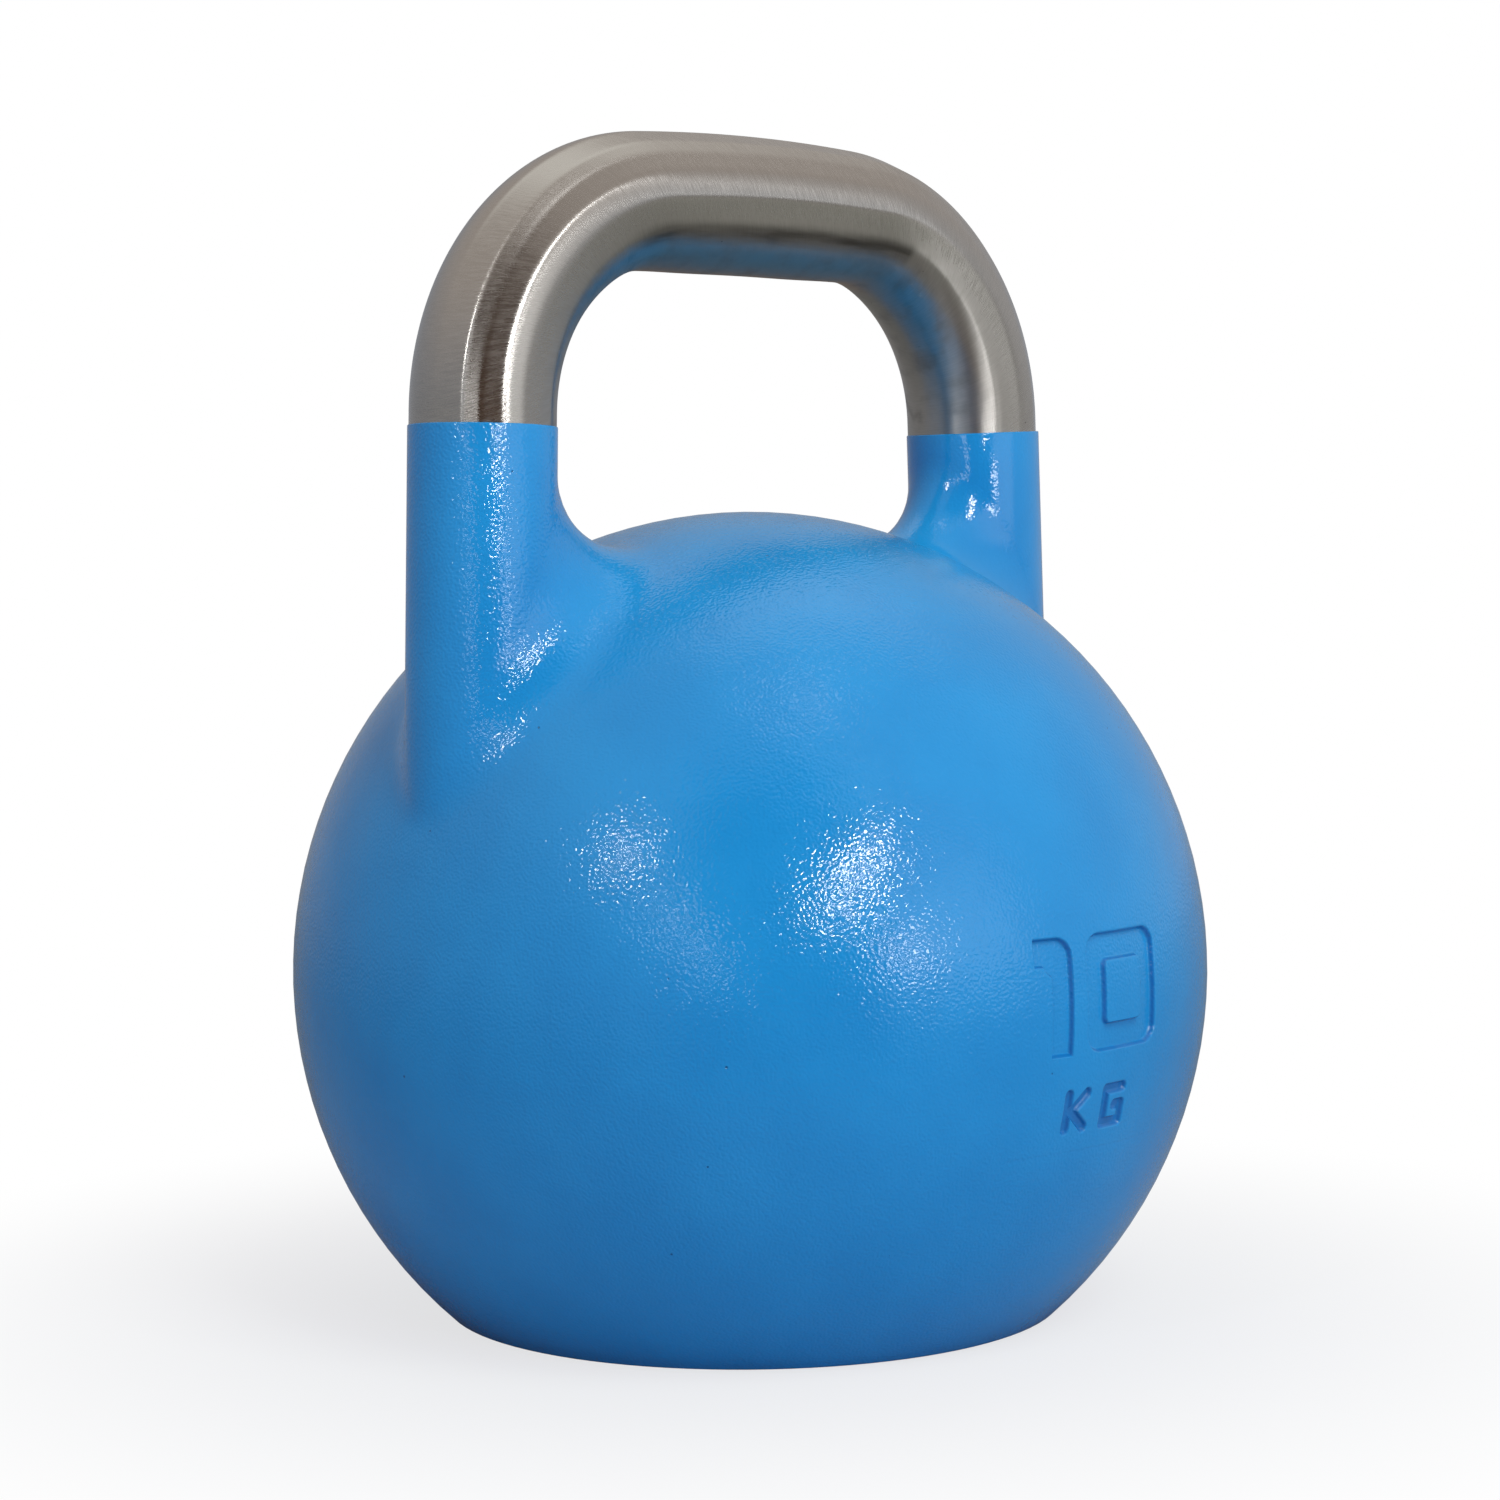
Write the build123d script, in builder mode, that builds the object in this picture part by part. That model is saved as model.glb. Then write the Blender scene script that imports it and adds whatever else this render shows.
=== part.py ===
"""Competition kettlebell, 10 kg size: a hollow cast-steel ball on a flat foot, with two horns
that carry a bare steel handle. The ball keeps one outside size for every weight of bell, and
the thickness of its wall sets the weight.

Frame: +Z up, origin in the middle of the foot on the floor, the handle spans X, and the front
of the ball faces -Y. Millimetres and degrees.
"""

from build123d import *

import os
from math import asin, cos, degrees, radians, sin, sqrt

# Ball
ball_diameter = 210.0  # outside, over the paint
foot_diameter = 141.0  # the flat that the bell stands on, out to where the ball would meet it
foot_edge_radius = 1.5  # rounding between the ball and the foot
wall = 7.62  # sets the weight of the bell
hollow_corner_radius = 6.0  # inside the ball, where the wall meets the floor

# Handle
handle_diameter = 31.75
window_height = 53.7  # finger gap between the top of the ball and the handle's underside
window_corner_radius = 32.6  # inside radius of the two bends
crown_radius = 500.0  # slow arch of the top bar, on its axis
horn_inset = 11.0  # from the ball's side in to the handle's side, where the bends start
leg_tilt = 1.9  # the legs lean in towards the top
bare_leg = 3.0  # straight bare steel between the paint line and the bend

# Horns, and the spigots that seat the handle in them
paint_build = 0.25  # the painted horn stands proud of the bare steel by this much
horn_fillet = 20.0  # blend between a horn and the ball
spigot_diameter = 18.0
spigot_length = 24.0
spigot_chamfer = 1.5
spigot_clearance = 0.1  # radial
socket_end_gap = 1.0  # below the end of the spigot

# Core hole in the foot, and the plug that closes it
core_hole_diameter = 46.0
plug_ledge_width = 7.0
plug_ledge_thickness = 4.0
plug_thickness = 5.0
plug_recess = 1.0  # the plug stays clear of the floor
plug_clearance = 0.1  # radial
plug_chamfer = 0.8

# The ball's centre stands as high as puts the edge of the foot on the sphere
ball_radius = ball_diameter / 2
ball_centre_height = sqrt(ball_radius**2 - (foot_diameter / 2) ** 2)
ball_top = ball_centre_height + ball_radius

# The handle's axis: a straight leg, a bend, the arched top and the same again, all tangent
handle_radius = handle_diameter / 2
bend_radius = window_corner_radius + handle_radius
bend_start_x = ball_radius - horn_inset - handle_radius
bend_centre_x = bend_start_x - bend_radius * cos(radians(leg_tilt))
crown_half_angle = degrees(asin(bend_centre_x / (crown_radius - bend_radius)))
bend_angle = 90 - leg_tilt - crown_half_angle
crown_top_z = ball_top + window_height + handle_radius
crown_centre_z = crown_top_z - crown_radius
bend_centre_z = crown_centre_z + (crown_radius - bend_radius) * cos(radians(crown_half_angle))
bend_start_z = bend_centre_z + bend_radius * sin(radians(leg_tilt))

LEFT, RIGHT = -1, 1


def paint_line_plane(side):
    """Square to the leg on that side, where the paint stops and the bare handle begins."""
    up_the_leg = Vector(-side * sin(radians(leg_tilt)), 0, cos(radians(leg_tilt)))
    bend_start = Vector(side * bend_start_x, 0, bend_start_z)
    return Plane(bend_start - up_the_leg * bare_leg, x_dir=(0, 1, 0), z_dir=up_the_leg)


# The horns run down inside the ball to the height of its centre. Their blend is limited by the
# height of horn that stands clear of the ball on the side of the window.
horn_radius = handle_radius + paint_build
paint_line_z = paint_line_plane(RIGHT).origin.Z
horn_length = (paint_line_z - ball_centre_height) / cos(radians(leg_tilt))
horn_inner_foot_z = ball_centre_height + sqrt(ball_radius**2 - (bend_start_x - horn_radius) ** 2)
horn_blend_radius = min(horn_fillet, 0.55 * (paint_line_z - horn_inner_foot_z))

plug_seat_radius = core_hole_diameter / 2 + plug_ledge_width
plug_seat_depth = plug_recess + plug_thickness
base_thickness = plug_seat_depth + plug_ledge_thickness

# Ball shell: the casting, with its horns, hollow, sockets for the handle and core hole
with BuildPart() as ball_shell:
    with BuildSketch(Plane.YZ) as ball_profile:
        with Locations((0, ball_centre_height)):
            Circle(ball_radius)
        Rectangle(ball_radius, ball_top, align=(Align.MIN, Align.MIN), mode=Mode.INTERSECT)
        foot_corner = ball_profile.vertices().group_by(Axis.Y)[0].sort_by(Axis.X)[-1]
        fillet(foot_corner, radius=foot_edge_radius)
    revolve(axis=Axis.Z)

    for side in (LEFT, RIGHT):
        with BuildSketch(paint_line_plane(side)):
            Circle(horn_radius)
    extrude(amount=-horn_length)
    horn_roots = ball_shell.edges(Select.NEW)
    fillet(horn_roots, radius=horn_blend_radius)

    with BuildSketch(Plane.YZ) as hollow_profile:
        with Locations((0, ball_centre_height)):
            Circle(ball_radius - wall)
        with Locations((0, base_thickness)):
            Rectangle(ball_radius, ball_top, align=(Align.MIN, Align.MIN), mode=Mode.INTERSECT)
        hollow_corner = hollow_profile.vertices().group_by(Axis.Y)[0].sort_by(Axis.X)[-1]
        fillet(hollow_corner, radius=hollow_corner_radius)
    revolve(axis=Axis.Z, mode=Mode.SUBTRACT)

    for side in (LEFT, RIGHT):
        with BuildSketch(paint_line_plane(side)):
            Circle(spigot_diameter / 2 + spigot_clearance)
    extrude(amount=-(spigot_length + socket_end_gap), mode=Mode.SUBTRACT)

    with BuildSketch(Plane.XY):
        Circle(core_hole_diameter / 2)
    extrude(amount=base_thickness, mode=Mode.SUBTRACT)
    with BuildSketch(Plane.XY):
        Circle(plug_seat_radius)
    extrude(amount=plug_seat_depth, mode=Mode.SUBTRACT)
ball_shell.part.label = "ball_shell"

# Handle: a round bar bent to the arch of the window, with a turned spigot on each end
with BuildPart() as handle:
    with BuildLine(Plane.XZ) as handle_axis:
        paint_line = paint_line_plane(LEFT).origin
        left_leg = Line((paint_line.X, paint_line.Z), (-bend_start_x, bend_start_z))
        left_bend = JernArc(left_leg @ 1, left_leg % 1, bend_radius, -bend_angle)
        crown = JernArc(left_bend @ 1, left_bend % 1, crown_radius, -2 * crown_half_angle)
        right_bend = JernArc(crown @ 1, crown % 1, bend_radius, -bend_angle)
        Line(right_bend @ 1, right_bend @ 1 + (right_bend % 1) * bare_leg)
    with BuildSketch(paint_line_plane(LEFT)):
        Circle(handle_radius)
    sweep(path=handle_axis.wires()[0])

    for side in (LEFT, RIGHT):
        with BuildSketch(paint_line_plane(side)):
            Circle(spigot_diameter / 2)
    extrude(amount=-spigot_length)
    spigot_ends = handle.edges().filter_by(GeomType.CIRCLE).sort_by(Axis.Z)[:2]
    chamfer(spigot_ends, length=spigot_chamfer)
handle.part.label = "handle"

# Core plug: a disc that closes the core hole, seated up against the ledge in the foot
with BuildPart() as core_plug:
    with BuildSketch(Plane.XY.offset(plug_recess)):
        Circle(plug_seat_radius - plug_clearance)
    extrude(amount=plug_thickness)
    chamfer(core_plug.edges().group_by(Axis.Z)[0], length=plug_chamfer)
core_plug.part.label = "core_plug"

pieces = (ball_shell, handle, core_plug)
os.makedirs("parts", exist_ok=True)
for piece in pieces:
    export_step(piece.part, f"parts/{piece.part.label}.step")

# What the bell weighs, in steel
STEEL_KG_PER_MM3 = 7.85e-6
for piece in pieces:
    print(f"{piece.part.label}: {piece.part.volume * STEEL_KG_PER_MM3:.3f} kg")
print(f"whole bell: {sum(piece.part.volume for piece in pieces) * STEEL_KG_PER_MM3:.3f} kg")
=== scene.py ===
"""Looks of a competition kettlebell: blue enamel over a pebbled steel casting, a ground bare handle.

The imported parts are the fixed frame: metres, +Z up, the handle along X, the front of the ball at -Y.
"""

from math import asin, cos, exp, pi, radians, sin, sqrt

import bmesh
import bpy
import numpy as np
from mathutils import Matrix, Vector, noise


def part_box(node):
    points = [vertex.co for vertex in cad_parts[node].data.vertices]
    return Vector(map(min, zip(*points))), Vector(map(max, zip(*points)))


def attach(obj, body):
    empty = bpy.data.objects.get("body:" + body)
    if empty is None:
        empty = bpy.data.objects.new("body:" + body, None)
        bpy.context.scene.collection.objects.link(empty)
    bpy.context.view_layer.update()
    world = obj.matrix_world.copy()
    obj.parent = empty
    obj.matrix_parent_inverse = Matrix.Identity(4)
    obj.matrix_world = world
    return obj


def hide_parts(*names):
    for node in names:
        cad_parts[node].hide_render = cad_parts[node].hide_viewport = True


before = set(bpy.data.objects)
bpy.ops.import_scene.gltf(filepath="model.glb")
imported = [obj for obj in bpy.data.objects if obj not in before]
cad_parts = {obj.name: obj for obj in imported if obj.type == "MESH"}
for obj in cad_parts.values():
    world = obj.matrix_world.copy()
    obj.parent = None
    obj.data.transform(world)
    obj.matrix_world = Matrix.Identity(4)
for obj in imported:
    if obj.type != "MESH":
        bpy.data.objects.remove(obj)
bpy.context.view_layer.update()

# The ball: a hollow steel casting, with its flat foot and its two horns in one piece. The sand of the
# mould leaves its skin pebbled, the weight is cast into its front as sunken figures, and thick glossy
# enamel is sprayed over all of it, up to a masked line round the top of each horn.

mm = 0.001
ball_radius = 105 * mm
foot_radius = 70.5 * mm
ball_centre = Vector((0, 0, sqrt(ball_radius**2 - foot_radius**2)))

figure_depth = 1.2 * mm
figure_edge = 0.4 * mm  # half the width of the soft slope at a figure's edge
figure_top, figure_bottom = 15.2 * mm, -9.5 * mm
figure_stroke = 5.5 * mm
figure_corner = 4.0 * mm
one_left, one_right = -18.0 * mm, -8.0 * mm
zero_left, zero_right = -3.2 * mm, 20.8 * mm
unit_depth = 0.9 * mm
unit_stroke = 2.0 * mm
unit_top, unit_bottom = -18.3 * mm, -25.7 * mm
unit_middle = (unit_top + unit_bottom) / 2
letter_k_left, letter_k_right = -7.5 * mm, -2.0 * mm
letter_k_arms = letter_k_left + 1.2 * mm  # where its two arms meet
letter_g_left, letter_g_right = 4.3 * mm, 10.1 * mm
letter_g_bar = (letter_g_left + letter_g_right) / 2 + 0.6 * mm  # where its bar ends


def block(x, z, left, right, bottom, top, corner):
    """How far each point is outside a block with round corners, less than 0 inside it."""
    over_x = abs(x - (left + right) / 2) - (right - left) / 2 + corner
    over_z = abs(z - (bottom + top) / 2) - (top - bottom) / 2 + corner
    outside = np.hypot(np.maximum(over_x, 0), np.maximum(over_z, 0))
    return outside + np.minimum(np.maximum(over_x, over_z), 0) - corner


def stroke(x, z, width, *points):
    """How far each point is outside a stroke of that width along those points, less than 0 inside it."""
    nearest = np.inf
    for start, end in zip(points, points[1:]):
        run = np.subtract(end, start)
        share = np.clip(((x - start[0]) * run[0] + (z - start[1]) * run[1]) / (run @ run), 0, 1)
        away = np.hypot(x - start[0] - share * run[0], z - start[1] - share * run[1])
        nearest = np.minimum(nearest, away)
    return nearest - width / 2


def sunk(outside, depth):
    """That depth inside a shape, with a soft slope at its edge."""
    share = np.clip(0.5 - outside / (2 * figure_edge), 0, 1)
    return depth * share * share * (3 - 2 * share)


def mark_depth(x, z):
    """Depth of the weight mark across the ball's front, x to the right and z above the ball's centre."""
    shoulder = one_right - figure_corner
    stem = block(x, z, one_right - figure_stroke, one_right, figure_bottom, figure_top - figure_corner, 0)
    flag = block(x, z, one_left, shoulder, figure_top - figure_stroke, figure_top, 0)
    bend = np.hypot(x - shoulder, z - figure_top + figure_corner) - figure_corner
    outline = block(x, z, zero_left, zero_right, figure_bottom, figure_top, figure_corner)
    island = block(
        x,
        z,
        zero_left + figure_stroke,
        zero_right - figure_stroke,
        figure_bottom + figure_stroke,
        figure_top - figure_stroke,
        figure_stroke / 4,
    )
    figures = np.minimum.reduce([stem, flag, bend, np.maximum(outline, -island)])
    stem_of_k = ((letter_k_left, unit_top), (letter_k_left, unit_bottom))
    arms_of_k = ((letter_k_right, unit_top), (letter_k_arms, unit_middle), (letter_k_right, unit_bottom))
    line_of_g = (
        (letter_g_right, unit_top),
        (letter_g_left, unit_top),
        (letter_g_left, unit_bottom),
        (letter_g_right, unit_bottom),
        (letter_g_right, unit_middle),
        (letter_g_bar, unit_middle),
    )
    lines = (stem_of_k, arms_of_k, line_of_g)
    letters = np.minimum.reduce([stroke(x, z, unit_stroke, *line) for line in lines])
    return np.maximum(sunk(figures, figure_depth), sunk(letters, unit_depth))


mark_margin = 5 * mm
mark_cuts = 22  # each edge of the casting's mesh is cut this often under the mark
skin_depth = 1 * mm  # the mesh's flat faces lie less than this under the true sphere


def under_mark(spot):
    """Whether a spot, given from the ball's centre, is on the ball's skin and near the weight mark."""
    across = one_left - mark_margin < spot.x < zero_right + mark_margin
    upright = unit_bottom - mark_margin < spot.z < figure_top + mark_margin
    return across and upright and spot.y < 0 and spot.length > ball_radius - skin_depth


weld_distance = 0.001 * mm  # points of the frame's mesh that close are one point
horn_x = 78.3 * mm
horn_rim_radius = 15 * mm
paint_rim_height = 195 * mm
paint_rim_angle = radians(60)
paint_rim_round = 0.3 * mm
sharp_angle = radians(40)  # edges sharper than this stay sharp

casting = bpy.data.meshes.new_from_object(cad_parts["ball_shell"])
casting.attributes.remove(casting.attributes["custom_normal"])
shape = bmesh.new()
shape.from_mesh(casting)
bmesh.ops.remove_doubles(shape, verts=shape.verts, dist=weld_distance)

marked_edges = set()
for face in shape.faces:
    if under_mark(face.calc_center_median() - ball_centre):
        marked_edges.update(face.edges)
bmesh.ops.subdivide_edges(shape, edges=list(marked_edges), cuts=mark_cuts, use_grid_fill=True)
bmesh.ops.triangulate(shape, faces=[face for face in shape.faces if len(face.verts) > 3])

# Painted shade: the enamel is coloured darker on the slopes of the mark and all over its narrow letters.
mark_shade = shape.verts.layers.float.new("mark_shade")
for point in shape.verts:
    spot = point.co - ball_centre
    if under_mark(spot):
        depth = mark_depth(spot.x, spot.z)
        point[mark_shade] = 4 * depth * (figure_depth - depth) / figure_depth**2
        point.co = ball_centre + spot.normalized() * (ball_radius - depth)

rim = []
for edge in shape.edges:
    middle = (edge.verts[0].co + edge.verts[1].co) / 2
    off_axis = sqrt((abs(middle.x) - horn_x) ** 2 + middle.y**2)
    on_rim = middle.z > paint_rim_height and off_axis > horn_rim_radius
    if on_rim and edge.calc_face_angle(0) > paint_rim_angle:
        rim.append(edge)
bmesh.ops.bevel(shape, geom=rim, offset=paint_rim_round, segments=3, profile=0.5, affect="EDGES")
bmesh.ops.recalc_face_normals(shape, faces=shape.faces)
shape.to_mesh(casting)
shape.free()
casting.shade_smooth()
casting.set_sharp_from_angle(angle=sharp_angle)


def new_material(name):
    """A node material, its tree and its surface shader."""
    material = bpy.data.materials.new(name)
    material.use_nodes = True
    tree = material.node_tree
    return material, tree, tree.nodes["Principled BSDF"]


def add_node(tree, kind, inputs=None, **settings):
    """One shader node. Each input is named, and is a value or another node's socket."""
    node = tree.nodes.new(kind)
    for name, value in settings.items():
        setattr(node, name, value)
    for name, value in (inputs or {}).items():
        if isinstance(value, bpy.types.NodeSocket):
            tree.links.new(value, node.inputs[name])
        else:
            node.inputs[name].default_value = value
    return node


def add_noise(tree, vector, size, detail=2.0):
    """A cloudy value about 0.5, with features of that size."""
    inputs = {"Vector": vector, "Scale": 1 / size, "Detail": detail}
    return add_node(tree, "ShaderNodeTexNoise", inputs).outputs["Fac"]


def add_range(tree, value, low, high, to_low=0.0, to_high=1.0):
    """That value, carried smoothly from one range to another and held at its ends."""
    inputs = {"Value": value, "From Min": low, "From Max": high, "To Min": to_low, "To Max": to_high}
    return add_node(tree, "ShaderNodeMapRange", inputs, interpolation_type="SMOOTHSTEP").outputs["Result"]


def add_spread(tree, cloudy, to_low=0.0, to_high=1.0):
    """A cloudy value, most of which lies between 0.3 and 0.7, spread over the whole of another range."""
    return add_range(tree, cloudy, 0.3, 0.7, to_low, to_high)


def add_math(tree, operation, first, second=0.0):
    """One sum on two values."""
    return add_node(tree, "ShaderNodeMath", {0: first, 1: second}, operation=operation).outputs["Value"]


def add_tint(tree, share, first, second):
    """A colour that goes from the first to the second as the share goes from 0 to 1."""
    node = add_node(tree, "ShaderNodeMix", data_type="RGBA")
    for socket, value in (("Factor_Float", share), ("A_Color", first), ("B_Color", second)):
        place = next(entry for entry in node.inputs if entry.identifier == socket)
        if isinstance(value, bpy.types.NodeSocket):
            tree.links.new(value, place)
        else:
            place.default_value = value
    return next(entry for entry in node.outputs if entry.identifier == "Result_Color")


def add_bump(tree, height, depth, normal=None):
    """The normal of a surface raised by that height, from 0 to 1, times that depth."""
    inputs = {"Height": height, "Distance": depth}
    if normal:
        inputs["Normal"] = normal
    return add_node(tree, "ShaderNodeBump", inputs).outputs["Normal"]


def srgb(red, green, blue):
    """A colour as it looks on a screen, 0 to 255, as linear RGBA."""
    linear = []
    for channel in (red / 255, green / 255, blue / 255):
        linear.append(channel / 12.92 if channel <= 0.04045 else ((channel + 0.055) / 1.055) ** 2.4)
    return (*linear, 1.0)


# Pinholes of the casting, which show through paint and grinding alike: a spot in some of the cells of
# a random pattern.
pinholes = bpy.data.node_groups.new("pinholes", "ShaderNodeTree")
pinholes.interface.new_socket("Vector", in_out="INPUT", socket_type="NodeSocketVector")
for name in ("Spacing", "Size", "Share"):
    pinholes.interface.new_socket(name, in_out="INPUT", socket_type="NodeSocketFloat")
pinholes.interface.new_socket("Mask", in_out="OUTPUT", socket_type="NodeSocketFloat")
entry = add_node(pinholes, "NodeGroupInput").outputs
density = add_math(pinholes, "DIVIDE", 1.0, entry["Spacing"])
cells = add_node(pinholes, "ShaderNodeTexVoronoi", {"Vector": entry["Vector"], "Scale": density})
away = add_math(pinholes, "MULTIPLY", cells.outputs["Distance"], entry["Spacing"])
spot = add_range(pinholes, away, entry["Size"], add_math(pinholes, "MULTIPLY", entry["Size"], 0.5))
pick = add_node(pinholes, "ShaderNodeSeparateColor", {"Color": cells.outputs["Color"]}).outputs["Red"]
kept = add_math(pinholes, "LESS_THAN", pick, entry["Share"])
mask = add_math(pinholes, "MULTIPLY", spot, kept)
add_node(pinholes, "NodeGroupOutput", {"Mask": mask})

pebble_size = 0.65 * mm
pebble_depth = 0.11 * mm  # on the left horn. The ball and the right horn are fettled, and have less left
fettled_share = 0.85
fettled_below, unfettled_above = 130 * mm, 165 * mm
right_horn_share = 0.35
right_horn_side = (45 * mm, 60 * mm)
unevenness_size = 16 * mm
unevenness_depth = 0.3 * mm
mottle_size = 30 * mm
pinhole_spacing = 7 * mm
pinhole_size = 0.35 * mm
pinhole_depth = 0.1 * mm
pinhole_share = 0.15
enamel_tones = (srgb(23, 124, 193), srgb(27, 131, 200))
# The colour of the painted shade in the slopes and narrow letters of the weight mark.
mark_shade_tone = srgb(16, 96, 170)
pinhole_tone = srgb(8, 84, 140)
enamel_roughness = (0.07, 0.12)

enamel, tree, shader = new_material("blue_enamel")
place = add_node(tree, "ShaderNodeTexCoord").outputs["Object"]
holes = add_node(
    tree,
    "ShaderNodeGroup",
    {"Vector": place, "Spacing": pinhole_spacing, "Size": pinhole_size, "Share": pinhole_share},
    node_tree=pinholes,
)
mottle = add_spread(tree, add_noise(tree, place, mottle_size, 4.0))
tone = add_tint(tree, mottle, *enamel_tones)
# Painted shade darkens the enamel on the slopes and narrow letters of the weight mark.
mark_shade_share = add_node(tree, "ShaderNodeAttribute", attribute_name="mark_shade").outputs["Fac"]
mark_shaded = add_tint(tree, mark_shade_share, tone, mark_shade_tone)
speckled = add_tint(tree, holes.outputs["Mask"], mark_shaded, pinhole_tone)
tree.links.new(speckled, shader.inputs["Base Color"])
uneven = add_bump(tree, add_noise(tree, place, unevenness_size, 1.0), unevenness_depth)
axes = add_node(tree, "ShaderNodeSeparateXYZ", {"Vector": place}).outputs
left_on_horn = add_range(tree, axes["X"], *right_horn_side, 1.0, right_horn_share)
left_on = add_range(tree, axes["Z"], fettled_below, unfettled_above, fettled_share, left_on_horn)
pebbles = add_math(tree, "MULTIPLY", add_noise(tree, place, pebble_size, 0.0), left_on)
pebbled = add_bump(tree, pebbles, pebble_depth, uneven)
sunken = add_math(tree, "SUBTRACT", 1.0, holes.outputs["Mask"])
tree.links.new(add_bump(tree, sunken, pinhole_depth, pebbled), shader.inputs["Normal"])
roughness = add_spread(tree, add_noise(tree, place, 4 * pebble_size), *enamel_roughness)
tree.links.new(roughness, shader.inputs["Roughness"])
shader.inputs["IOR"].default_value = 1.5

casting.materials.clear()
casting.materials.append(enamel)
ball = bpy.data.objects.new("painted_ball", casting)
bpy.context.scene.collection.objects.link(ball)
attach(ball, "root")
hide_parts("ball_shell")

# The core plug: a steel disc pressed into the foot, over the hole that the core left. It is painted
# with the ball.

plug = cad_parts["core_plug"]
plug.data.materials.clear()
plug.data.materials.append(enamel)

# The handle: a round steel bar, bent in one piece and left bare. It is ground by hand across a belt, so
# its scratches run round the bar and the belt leaves long flats on it. A turned spigot on each end
# seats it in its horn.

handle_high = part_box("handle")[1]
bar_radius = handle_high.y
leg_tilt = radians(1.9)
bare_leg = 3.0 * mm
window_corner_radius = 32.6 * mm
crown_radius = 500 * mm
spigot_radius = 9 * mm
spigot_length = 24 * mm
spigot_chamfer = 1.5 * mm
bar_step = 0.75 * mm
bar_sides = 160

# The flats, in degrees round the bar from its outer side towards the back: the middle of each, and half
# its width.
belt_flats = ((-23.0, 14.0), (-41.8, 12.8), (-53.3, 12.9), (-100.7, 13.0))
flat_softness = 0.18 * mm  # rounds the ridges between flats
ripple_depth = 0.08 * mm
ripple_length = 40 * mm
ripples_round = 2.2
thinned_depth = 1.0 * mm  # ground off the inside of each bend, where it leaves the top bar
thinned_place = 38 * mm
thinned_length = 16 * mm

bend_radius = window_corner_radius + bar_radius
bend_start_x = handle_high.x - bar_radius * cos(leg_tilt) - bare_leg * sin(leg_tilt)
bend_centre_x = bend_start_x - bend_radius * cos(leg_tilt)
crown_half_angle = asin(bend_centre_x / (crown_radius - bend_radius))
bend_angle = pi / 2 - leg_tilt - crown_half_angle
crown_centre_z = handle_high.z - bar_radius - crown_radius
bend_centre_z = crown_centre_z + (crown_radius - bend_radius) * cos(crown_half_angle)
half_crown_length = crown_radius * crown_half_angle
bend_length = bend_radius * bend_angle
half_length = half_crown_length + bend_length + bare_leg


def bar_axis(along):
    """Where the bar's axis is, that far from its middle, and how steeply it goes down from there."""
    side = 1 if along >= 0 else -1
    run = abs(along)
    if run <= half_crown_length:
        slope = run / crown_radius
        x = crown_radius * sin(slope)
        z = crown_centre_z + crown_radius * cos(slope)
    else:
        bent = min(run - half_crown_length, bend_length)
        straight = run - half_crown_length - bent
        slope = crown_half_angle + bent / bend_radius
        x = bend_centre_x + bend_radius * sin(slope) + straight * cos(slope)
        z = bend_centre_z + bend_radius * cos(slope) - straight * sin(slope)
    return Vector((side * x, 0, z)), side * slope


def ground_reach(along, turn):
    """How far the ground skin is from the bar's axis, that far along it and turned that far round it."""
    reach = bar_radius
    for middle, half_width in belt_flats:
        off_middle = cos(turn - radians(middle))
        if off_middle > 0.5:
            flat = bar_radius * cos(radians(half_width)) / off_middle
            shared = max(1 - abs(reach - flat) / flat_softness, 0)
            reach = min(reach, flat) - shared**2 * flat_softness / 4
    spot = Vector((along / ripple_length, ripples_round * cos(turn), ripples_round * sin(turn)))
    ripple = ripple_depth * (0.5 + 0.5 * noise.noise(spot))
    inside = max(-cos(turn), 0) ** 2
    thinned = thinned_depth * inside * exp(-(((abs(along) - thinned_place) / thinned_length) ** 2))
    return reach - ripple - thinned


def bar_ring(along, radius=None):
    """One ring of points round the bar's axis: of that radius, or else of the ground bar."""
    centre, slope = bar_axis(along)
    outward = Vector((sin(slope), 0, cos(slope)))
    backward = Vector((0, 1, 0))
    ring = []
    for k in range(bar_sides):
        turn = 2 * pi * k / bar_sides
        reach = radius or ground_reach(along, turn)
        ring.append(centre + reach * (outward * cos(turn) + backward * sin(turn)))
    return ring


spigot_end = half_length + spigot_length
spigot_stations = [
    (half_length, spigot_radius),
    (spigot_end - spigot_chamfer, spigot_radius),
    (spigot_end, spigot_radius - spigot_chamfer),
]
bar_stations = np.linspace(-half_length, half_length, round(2 * half_length / bar_step) + 1)
stations = [
    *((-along, radius) for along, radius in reversed(spigot_stations)),
    *((along,) for along in bar_stations),
    *spigot_stations,
]
points = [point for station in stations for point in bar_ring(*station)]
faces = [range(bar_sides), range(len(points) - 1, len(points) - 1 - bar_sides, -1)]
bar_map = [(0, 0)] * (2 * bar_sides)
for r in range(len(stations) - 1):
    for k in range(bar_sides):
        corners = ((r + 1, k), (r + 1, k + 1), (r, k + 1), (r, k))
        faces.append([ring * bar_sides + turn % bar_sides for ring, turn in corners])
        bar_map.extend((stations[ring][0], turn / bar_sides) for ring, turn in corners)

bar = bpy.data.meshes.new("ground_handle")
bar.from_pydata(points, [], faces)
bar.uv_layers.new(name="bar").data.foreach_set("uv", np.ravel(bar_map))
bar.shade_smooth()
bar.set_sharp_from_angle(angle=sharp_angle)

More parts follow.
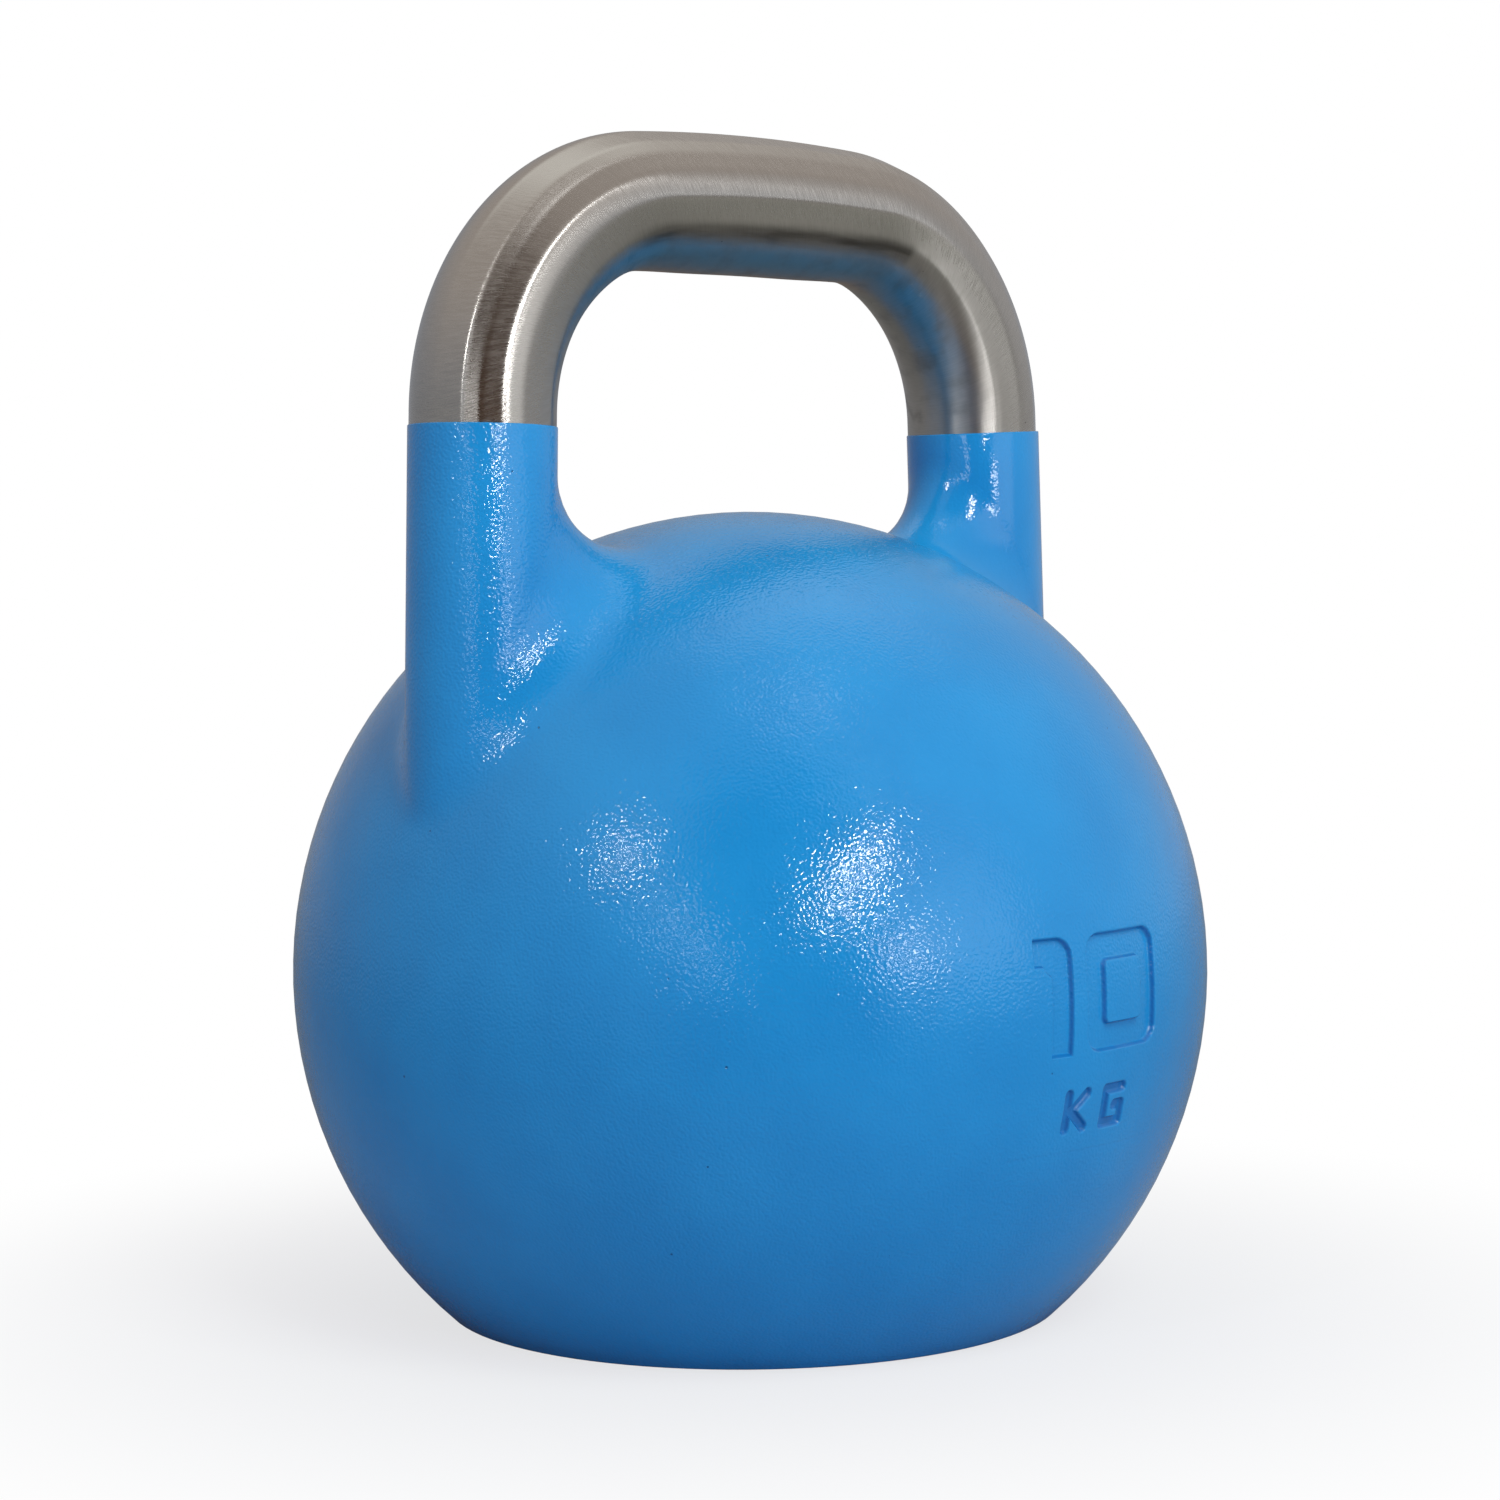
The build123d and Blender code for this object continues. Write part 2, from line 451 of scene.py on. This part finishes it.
scratch_gap = 0.25 * mm
scratch_length = 4 * mm
scratch_depth = 0.015 * mm
scratch_slant = 0.35  # the belt crosses the bar's front a little aslant
film_start, film_end = 32 * mm, 54 * mm  # a brown film under the top bar fades out along the bends
stain_size = 7 * mm
pit_spacing = 3.2 * mm
pit_size = 0.22 * mm
# A painted shadow line runs low on the front of the top bar.
shade_line_turn = 1 - 119 / 360  # a long dark streak low on the front of the top bar, in turns round the bar
shade_line_width = 14 / 360
shade_line_start, shade_line_end = -54 * mm, 46 * mm
shade_line_fade = 16 * mm
shade_line_stop = 3 * mm
shade_cloud_length = 25 * mm
shade_cloud_width = 3 * mm
pit_share = 0.07
inner_stain_and_shade_share = 0.15  # of the dark tone, on inner stains that are partly painted shade
soil_dulling = 0.18
film_dulling = 0.25
ground_tones = ((0.45, 0.437, 0.417, 1), (0.515, 0.5, 0.48, 1))
film_tone = (0.64, 0.5, 0.42, 1)
# Dark tone for the pits, and for the painted shade of the inner stains and of the shadow line.
dark_stain_and_shade_tone = (0.08, 0.075, 0.07, 1)
ground_roughness = (0.23, 0.3)

steel, tree, shader = new_material("ground_steel")
unrolled = add_node(tree, "ShaderNodeUVMap", uv_map="bar").outputs["UV"]
bar_place = add_node(tree, "ShaderNodeSeparateXYZ", {"Vector": unrolled}).outputs
turn = add_math(tree, "MULTIPLY", bar_place["Y"], 2 * pi)
outer = add_math(tree, "COSINE", turn)
rear = add_math(tree, "SINE", turn)
slanted = add_math(tree, "MULTIPLY", outer, scratch_slant * bar_radius)
skin = add_node(
    tree,
    "ShaderNodeCombineXYZ",
    {
        "X": add_math(tree, "ADD", bar_place["X"], slanted),
        "Y": add_math(tree, "MULTIPLY", outer, bar_radius),
        "Z": add_math(tree, "MULTIPLY", rear, bar_radius),
    },
).outputs["Vector"]


def grain(along, round_the_bar):
    """The bar's skin as a vector in which a grain of that length along and round the bar has size 1."""
    scale = (1 / along, 1 / round_the_bar, 1 / round_the_bar)
    scaled = add_node(tree, "ShaderNodeVectorMath", {0: skin, 1: scale}, operation="MULTIPLY")
    return scaled.outputs["Vector"]


scratches = add_noise(tree, grain(scratch_gap, scratch_length), 1.0, 3.0)
stains = add_range(tree, add_noise(tree, grain(stain_size, stain_size), 1.0, 4.0), 0.45, 0.75)
inner = add_range(tree, outer, 0.0, -0.9)
underside = add_range(tree, outer, -0.35, -0.95)
off_middle = add_math(tree, "ABSOLUTE", bar_place["X"])
filmed = add_math(tree, "MULTIPLY", underside, add_range(tree, off_middle, film_end, film_start))
# Stains on the inner side of the bar, darkened there as painted shade too.
inner_stains_and_shade = add_math(tree, "MULTIPLY", stains, inner)
# Painted shade: a dark line low on the front of the top bar, fading at its ends and broken up along it.
off_shade_line = add_math(tree, "ABSOLUTE", add_math(tree, "SUBTRACT", bar_place["Y"], shade_line_turn))
shade_line = add_range(tree, off_shade_line, shade_line_width, 0.0)
for end, inside in ((shade_line_start, shade_line_start + shade_line_fade), (shade_line_end, shade_line_end - shade_line_stop)):
    shade_line = add_math(tree, "MULTIPLY", shade_line, add_range(tree, bar_place["X"], end, inside))
shade_cloud = add_spread(tree, add_noise(tree, grain(shade_cloud_length, shade_cloud_width), 1.0, 4.0), 0.4, 0.85)
shade_line = add_math(tree, "MULTIPLY", shade_line, shade_cloud)
pits = add_node(
    tree,
    "ShaderNodeGroup",
    {"Vector": skin, "Spacing": pit_spacing, "Size": pit_size, "Share": pit_share},
    node_tree=pinholes,
)
# The dark tone goes on the pits, on the inner stains with their painted shade, and on the shadow line.
stains_and_shade = add_math(tree, "MAXIMUM", add_math(tree, "MULTIPLY", inner_stains_and_shade, inner_stain_and_shade_share), shade_line)
dark = add_math(tree, "MAXIMUM", stains_and_shade, pits.outputs["Mask"])
ground_metal = add_tint(tree, add_spread(tree, scratches), *ground_tones)
filmed_metal = add_tint(tree, filmed, ground_metal, film_tone)
metal = add_tint(tree, dark, filmed_metal, dark_stain_and_shade_tone)
tree.links.new(metal, shader.inputs["Base Color"])
dull = add_math(
    tree,
    "ADD",
    add_math(tree, "MULTIPLY", add_math(tree, "ADD", inner, inner_stains_and_shade), soil_dulling),
    add_math(tree, "MULTIPLY", filmed, film_dulling),
)
roughness = add_math(tree, "ADD", add_spread(tree, scratches, *ground_roughness), dull)
tree.links.new(roughness, shader.inputs["Roughness"])
tree.links.new(add_bump(tree, scratches, scratch_depth), shader.inputs["Normal"])
along_bar = add_node(tree, "ShaderNodeTangent", direction_type="UV_MAP", uv_map="bar")
tree.links.new(along_bar.outputs["Tangent"], shader.inputs["Tangent"])
shader.inputs["Metallic"].default_value = 1.0
shader.inputs["Anisotropic"].default_value = 0.92

bar.materials.append(steel)
handle = bpy.data.objects.new("ground_handle", bar)
bpy.context.scene.collection.objects.link(handle)
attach(handle, "root")
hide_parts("handle")

# The camera stands where the photograph was taken: close to the bell, a little above its ball and
# towards its left shoulder.

view_heading = radians(-44.437)
view_pitch = radians(-3.621)
view_roll = radians(-0.649)
camera_place = Vector((-0.57146, -0.58356, 0.17965))
camera_lens = bpy.data.cameras.new("camera")
camera_lens.sensor_width = 36.0
camera_lens.lens = 85.157
camera = bpy.data.objects.new("camera", camera_lens)
bpy.context.scene.collection.objects.link(camera)
camera.matrix_world = (
    Matrix.Translation(camera_place)
    @ Matrix.Rotation(view_heading, 4, "Z")
    @ Matrix.Rotation(pi / 2 + view_pitch, 4, "X")
    @ Matrix.Rotation(view_roll, 4, "Z")
)
bpy.context.scene.camera = camera

# The floor: a plain pale sheet that turns as white as the background away from the bell, so that only
# the bell's own soft shadow shows on it. In the bell's reflections the floor carries painted light and
# shade: painted blue light from the ball close by, painted shade further out and towards the camera,
# and brighter far off.

floor_half = 8.0
shadow_reach, white_reach = 0.08, 0.26  # the floor turns white between these, from the middle of the bell
paper_tone = (0.5, 0.52, 0.63, 1)
mirrored_tones = ((0.21, 0.215, 0.225, 1), (0.46, 0.465, 0.47, 1))  # as the bell mirrors it, near and far
mirrored_shade = (0.11, 0.065, 0.045, 1)
# Painted blue light from the ball, on the floor close to the bell.
mirrored_blue_light = (0.26, 0.29, 0.35, 1)

floor_mesh = bpy.data.meshes.new("floor")
floor_mesh.from_pydata(
    [(x * floor_half, y * floor_half, 0) for x, y in ((-1, -1), (1, -1), (1, 1), (-1, 1))],
    [],
    [(0, 1, 2, 3)],
)
floor = bpy.data.objects.new("floor", floor_mesh)
bpy.context.scene.collection.objects.link(floor)

paper, tree, shader = new_material("pale_floor")
tree.nodes.remove(shader)
spot = add_node(tree, "ShaderNodeTexCoord").outputs["Object"]
reach = add_node(tree, "ShaderNodeVectorMath", {0: spot}, operation="LENGTH").outputs["Value"]
ray = add_node(tree, "ShaderNodeLightPath").outputs
whitened = add_range(tree, reach, shadow_reach, white_reach, 0.72, 1.0)
looked_at = add_math(tree, "MULTIPLY", ray["Is Camera Ray"], whitened)


def towards(tree, direction, right_of_camera, near, far):
    """1 within near degrees of a heading, given in degrees right of the camera, falling to 0 at far."""
    level = add_node(tree, "ShaderNodeVectorMath", {0: direction, 1: (1, 1, 0)}, operation="MULTIPLY")
    heading = add_node(tree, "ShaderNodeVectorMath", {0: level.outputs["Vector"]}, operation="NORMALIZE")
    angle = view_heading + radians(right_of_camera)
    inputs = {0: heading.outputs["Vector"], 1: (sin(angle), -cos(angle), 0)}
    facing = add_node(tree, "ShaderNodeVectorMath", inputs, operation="DOT_PRODUCT").outputs["Value"]
    return add_range(tree, facing, cos(radians(far)), cos(radians(near)))


# Painted light and shade, seen only in the bell's reflections of the floor.
mirrored = add_tint(tree, add_range(tree, reach, 0.4, 2.2), *mirrored_tones)
camera_side = towards(tree, spot, 9, near=18, far=28)
shade = add_math(tree, "MULTIPLY", camera_side, add_range(tree, reach, 0.18, 0.35))
shaded = add_tint(tree, shade, mirrored, mirrored_shade)
near_by = add_tint(tree, add_range(tree, reach, 0.3, 0.1), shaded, mirrored_blue_light)
pale = add_tint(tree, ray["Is Glossy Ray"], paper_tone, near_by)
matt = add_node(tree, "ShaderNodeBsdfDiffuse", {"Color": pale})
white = add_node(tree, "ShaderNodeEmission", {"Color": (1, 1, 1, 1)})
sheet = add_node(
    tree,
    "ShaderNodeMixShader",
    {0: looked_at, 1: matt.outputs["BSDF"], 2: white.outputs["Emission"]},
)
tree.links.new(sheet.outputs["Shader"], tree.nodes["Material Output"].inputs["Surface"])
floor_mesh.materials.append(paper)

# Soft studio light: a broad window from the upper right that lights the bell evenly, small bright
# softboxes on both sides of the camera that its paint and steel mirror, and a pale room that is dark
# and warm behind the camera.

lamp_aim = Vector((0, 0, 0.12))


def softbox(name, right_of_camera, elevation, distance, width, height, power, lean=0):
    """A lamp aimed at the bell, placed by its degrees right of the camera and above the floor."""
    heading = view_heading + radians(right_of_camera)
    lamp = bpy.data.lights.new(name, "AREA")
    lamp.shape = "RECTANGLE"
    lamp.size = width
    lamp.size_y = height
    lamp.energy = power
    stand = bpy.data.objects.new(name, lamp)
    bpy.context.scene.collection.objects.link(stand)
    rise = radians(elevation)
    outward = Vector((sin(heading) * cos(rise), -cos(heading) * cos(rise), sin(rise)))
    facing = (-outward).to_track_quat("-Z", "Y").to_matrix().to_4x4()
    turned = facing @ Matrix.Rotation(radians(-lean), 4, "Z")
    stand.matrix_world = Matrix.Translation(lamp_aim + distance * outward) @ turned
    return stand


stand_off = 1.8
softbox("key_softbox", 27, 25, stand_off, width=0.085, height=0.75, power=9.0, lean=50)
softbox("weak_softbox", 37, 7, stand_off, width=0.28, height=0.12, power=1.6)
softbox("small_softbox", -33.5, 30, stand_off, width=0.14, height=0.14, power=2.2)
softbox("strip_softbox", -14.5, 12, stand_off, width=0.08, height=0.8, power=1.0, lean=-42)
softbox("ceiling_light", 35, 70, stand_off, width=0.5, height=0.15, power=0.5)
window = softbox("window", 36, 52, 2.2, width=0.9, height=0.9, power=25.5)
window.visible_glossy = False
window.data.color = (0.94, 1.0, 0.76)

wall_tones = ((0.33, 0.345, 0.38, 1), (0.53, 0.53, 0.54, 1))
bright_wall_tone = (1.4, 1.4, 1.4, 1)
roof_tone = (0.56, 0.5, 0.455, 1)
lit_roof_tone = (1.15, 1.12, 1.05, 1)  # beyond the bell
dim_wall_tone = (0.07, 0.04, 0.026, 1)  # behind the camera

room = bpy.data.worlds.new("room")
room.use_nodes = True
bpy.context.scene.world = room
tree = room.node_tree
direction = add_node(tree, "ShaderNodeTexCoord").outputs["Generated"]
rise = add_node(tree, "ShaderNodeSeparateXYZ", {"Vector": direction}).outputs["Z"]
walls = add_tint(tree, towards(tree, direction, 85, near=15, far=90), *wall_tones)
bright = add_tint(tree, towards(tree, direction, 50, near=12, far=25), walls, bright_wall_tone)
roofed = add_tint(tree, add_range(tree, rise, 0.1, 0.75), bright, roof_tone)
far_side = towards(tree, direction, 180, near=40, far=80)
beyond = add_math(tree, "MULTIPLY", far_side, add_range(tree, rise, 0.72, 0.9))
lit = add_tint(tree, beyond, roofed, lit_roof_tone)
camera_side = towards(tree, direction, 7, near=18, far=28)
behind = add_math(tree, "MULTIPLY", camera_side, add_range(tree, rise, 0.95, 0.7))
dim = add_tint(tree, behind, lit, dim_wall_tone)
ray = add_node(tree, "ShaderNodeLightPath").outputs
seen = add_tint(tree, ray["Is Camera Ray"], dim, (1, 1, 1, 1))
tree.links.new(seen, tree.nodes["Background"].inputs["Color"])
bpy.context.scene.view_settings.view_transform = "Standard"
